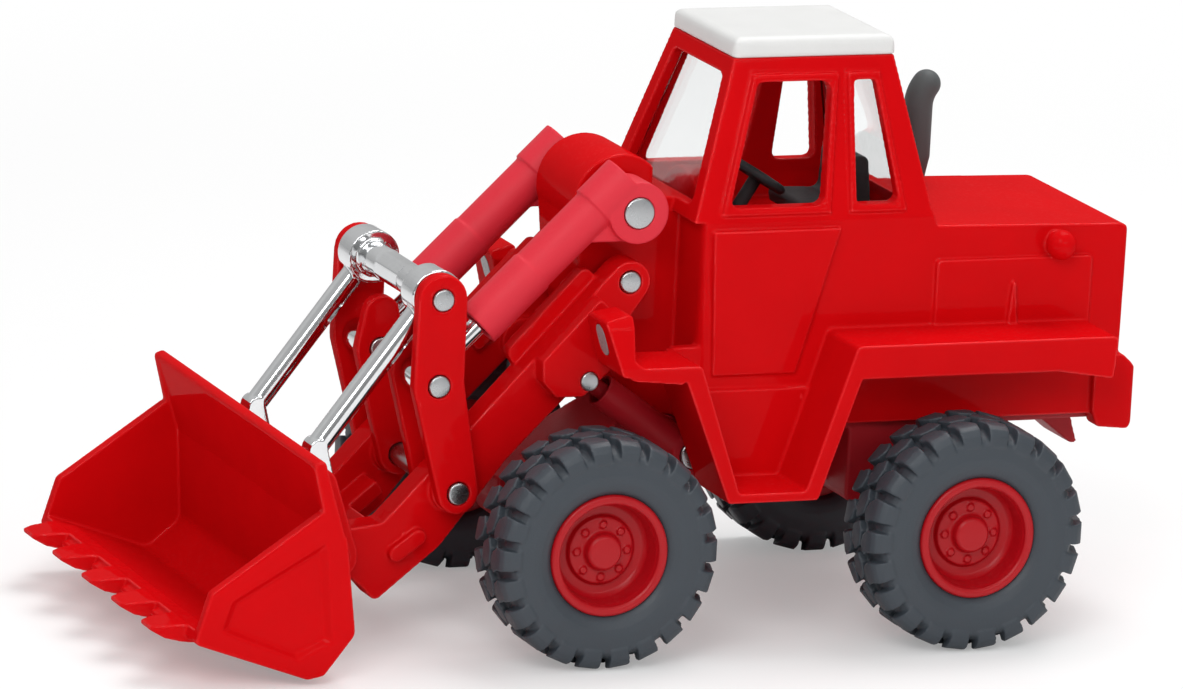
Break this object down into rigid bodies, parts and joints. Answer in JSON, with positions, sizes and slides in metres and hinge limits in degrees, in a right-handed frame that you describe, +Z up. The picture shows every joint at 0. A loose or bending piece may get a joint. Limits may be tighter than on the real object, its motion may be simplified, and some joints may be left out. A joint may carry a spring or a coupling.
{
  "type": "toy front loader",
  "caption": "Toy wheel loader with free-rolling axles, a lift arm, a tilt linkage worked by paired cylinders and a toothed bucket under a glazed cab.",
  "frame": {"origin": "middle of the whole length and width, on the ground under the tyres", "axes": "+X forward to the bucket, +Y to the driver's left, +Z up"},
  "size_m": [0.101, 0.046, 0.0564],
  "materials": {
    "body_paint": "thick gloss red paint on a casting",
    "roof_plastic": "satin white moulding",
    "clear_plastic": "clear moulding",
    "cab_plastic": "matt dark grey moulding",
    "exhaust_plastic": "matt grey moulding",
    "lamp_plastic": "silver-grey lens print",
    "chassis_plastic": "matt dark red moulding",
    "barrel_plastic": "matt pinkish red moulding",
    "pin_steel": "drawn steel",
    "rim_plastic": "satin red moulding",
    "tyre_rubber": "dark grey rubber",
    "rod_chrome": "bright chrome plating"
  },
  "bodies": {
    "vehicle": {"body_shell": "body_paint", "roof_panel": "roof_plastic", "cab_glazing": "clear_plastic", "seat": "cab_plastic", "steering_column": "cab_plastic", "steering_wheel": "cab_plastic", "exhaust_stack": "exhaust_plastic", "headlight_lenses": "lamp_plastic", "chassis_plate": "chassis_plastic", "chassis_screws": "pin_steel", "arm_pivot_pin": "pin_steel", "lift_base_pin": "pin_steel"},
    "front_axle_set": {"front_axle": "pin_steel", "front_left_rim": "rim_plastic", "front_right_rim": "rim_plastic", "front_left_tyre": "tyre_rubber", "front_right_tyre": "tyre_rubber"},
    "rear_axle_set": {"rear_axle": "pin_steel", "rear_left_rim": "rim_plastic", "rear_right_rim": "rim_plastic", "rear_left_tyre": "tyre_rubber", "rear_right_tyre": "tyre_rubber"},
    "arm": {"lift_arm": "body_paint", "lever_base_pin": "pin_steel", "bucket_hinge_pins": "pin_steel", "lift_rod_pins": "pin_steel"},
    "lever": {"left_lever_outer": "body_paint", "left_lever_inner": "body_paint", "right_lever_outer": "body_paint", "right_lever_inner": "body_paint", "lever_top_pin": "pin_steel"},
    "mid_pins": {"left_mid_pin": "pin_steel", "right_mid_pin": "pin_steel"},
    "tilt_rods": {"left_tilt_rod": "rod_chrome", "right_tilt_rod": "rod_chrome"},
    "tower_shaft": {"tower_pin": "pin_steel"},
    "tilt_barrels": {"left_tilt_barrel": "barrel_plastic", "right_tilt_barrel": "barrel_plastic"},
    "link": {"tilt_link": "rod_chrome"},
    "scoop": {"bucket": "body_paint", "bucket_link_pins": "pin_steel"},
    "lift_barrels": {"left_lift_barrel": "chassis_plastic", "right_lift_barrel": "chassis_plastic"},
    "lift_rods": {"left_lift_rod": "chassis_plastic", "right_lift_rod": "chassis_plastic"}
  },
  "joints": [
    {"name": "front_axle_spin", "type": "hinge", "parent": "vehicle", "child": "front_axle_set", "pos_m": [0.00712, 0, 0.011], "axis": [0, 1, 0], "continuous": true},
    {"name": "rear_axle_spin", "type": "hinge", "parent": "vehicle", "child": "rear_axle_set", "pos_m": [-0.03008, 0, 0.011], "axis": [0, 1, 0], "continuous": true},
    {"name": "arm_lift", "type": "hinge", "parent": "vehicle", "child": "arm", "pos_m": [0.00112, 0, 0.0338], "axis": [0, -1, 0], "range_deg": [0, 42]},
    {"name": "bucket_tilt", "type": "hinge", "parent": "arm", "child": "scoop", "pos_m": [0.02958, 0, 0.00892], "axis": [0, 1, 0], "range_deg": [-2, 65]},
    {"name": "lever_swing", "type": "hinge", "parent": "arm", "child": "lever", "pos_m": [0.01818, 0, 0.01472], "axis": [0, 1, 0], "range_deg": [-4, 33]},
    {"name": "link_swing", "type": "hinge", "parent": "lever", "child": "link", "pos_m": [0.02058, 0, 0.03324], "axis": [0, 1, 0], "range_deg": [-22, 4]},
    {"name": "mid_pin_turn", "type": "hinge", "parent": "lever", "child": "mid_pins", "pos_m": [0.02058, 0, 0.02504], "axis": [0, -1, 0], "range_deg": [-5, 37]},
    {"name": "tilt_rod_swing", "type": "hinge", "parent": "mid_pins", "child": "tilt_rods", "pos_m": [0.02058, 0, 0.02504], "axis": [0, -1, 0], "range_deg": [-8, 3]},
    {"name": "tower_shaft_turn", "type": "hinge", "parent": "vehicle", "child": "tower_shaft", "pos_m": [0.00082, 0, 0.0405], "axis": [0, -1, 0], "range_deg": [-3, 40]},
    {"name": "tilt_barrel_swing", "type": "hinge", "parent": "tower_shaft", "child": "tilt_barrels", "pos_m": [0.00082, 0, 0.0405], "axis": [0, -1, 0], "range_deg": [-3, 7]},
    {"name": "lift_barrel_swing", "type": "hinge", "parent": "vehicle", "child": "lift_barrels", "pos_m": [-0.00608, 0, 0.0169], "axis": [0, -1, 0], "range_deg": [-3, 7]},
    {"name": "lift_rod_swing", "type": "hinge", "parent": "arm", "child": "lift_rods", "pos_m": [0.00552, 0, 0.0249], "axis": [0, -1, 0], "range_deg": [-42, 3]}
  ],
  "couplings": [
    {"joint": "lever_swing", "follows": "bucket_tilt", "ratio": 0.473},
    {"joint": "link_swing", "follows": "bucket_tilt", "ratio": -0.3007},
    {"joint": "mid_pin_turn", "follows": "bucket_tilt", "ratio": 0.5299},
    {"joint": "tilt_rod_swing", "follows": "arm_lift", "ratio": -0.1281},
    {"joint": "tower_shaft_turn", "follows": "arm_lift", "ratio": 0.8719},
    {"joint": "tilt_barrel_swing", "follows": "bucket_tilt", "ratio": 0.0569},
    {"joint": "lift_barrel_swing", "follows": "arm_lift", "ratio": 0.077},
    {"joint": "lift_rod_swing", "follows": "arm_lift", "ratio": -0.923}
  ]
}
